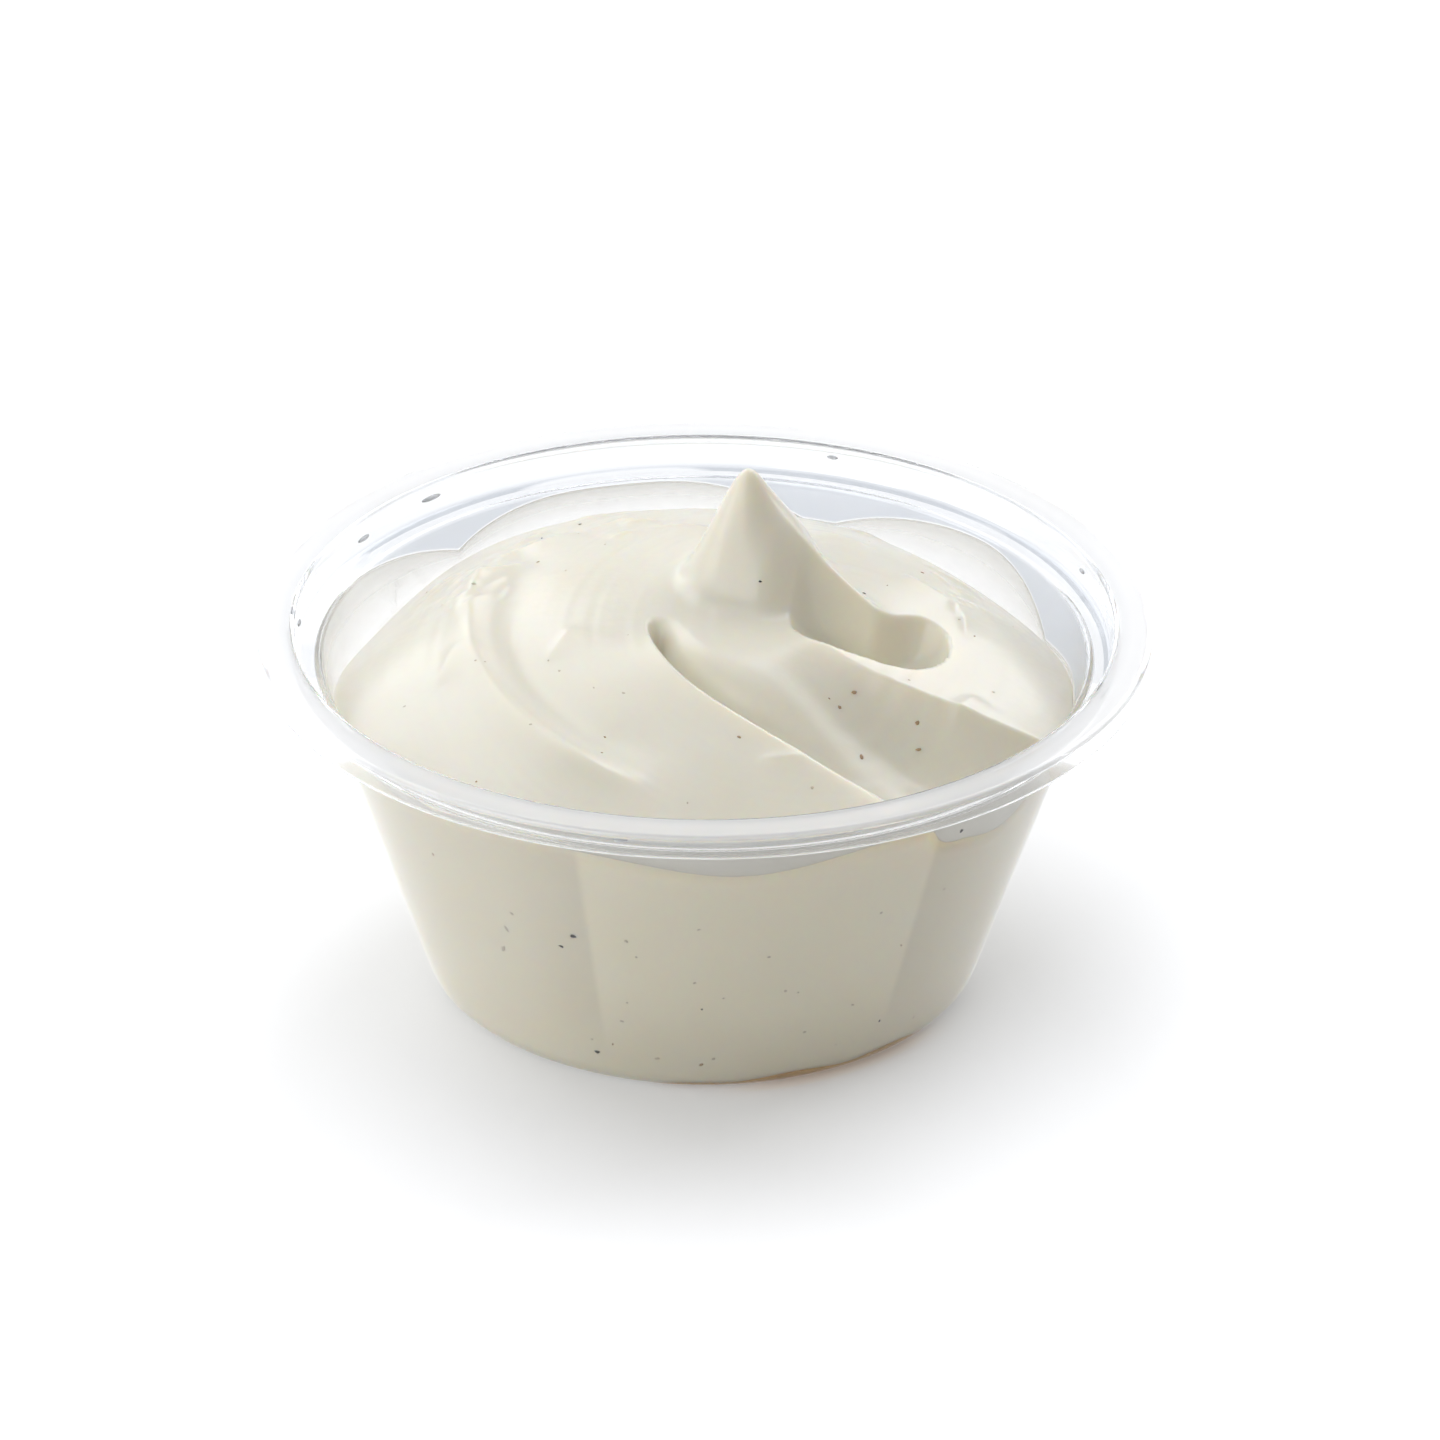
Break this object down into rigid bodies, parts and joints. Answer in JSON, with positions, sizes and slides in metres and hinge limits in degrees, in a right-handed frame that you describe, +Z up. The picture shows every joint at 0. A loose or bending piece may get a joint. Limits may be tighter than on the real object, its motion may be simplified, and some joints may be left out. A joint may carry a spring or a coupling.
{
  "type": "portion cup of truffle sauce",
  "caption": "Open clear plastic portion cup with a wide flange, filled with pale speckled truffle sauce swirled up into a peak.",
  "frame": {"origin": "centre of the cup's underside, on the surface it stands on", "axes": "+Z up along the cup's axis, the sauce's front towards -Y and its deep hollow towards +X"},
  "size_m": [0.075, 0.075, 0.0429],
  "materials": {
    "clear_plastic": "clear smooth moulded polypropylene",
    "sauce": "smooth glossy off-white sauce with small dark flecks"
  },
  "bodies": {
    "root": {"cup": "clear_plastic", "sauce": "sauce"}
  },
  "joints": []
}
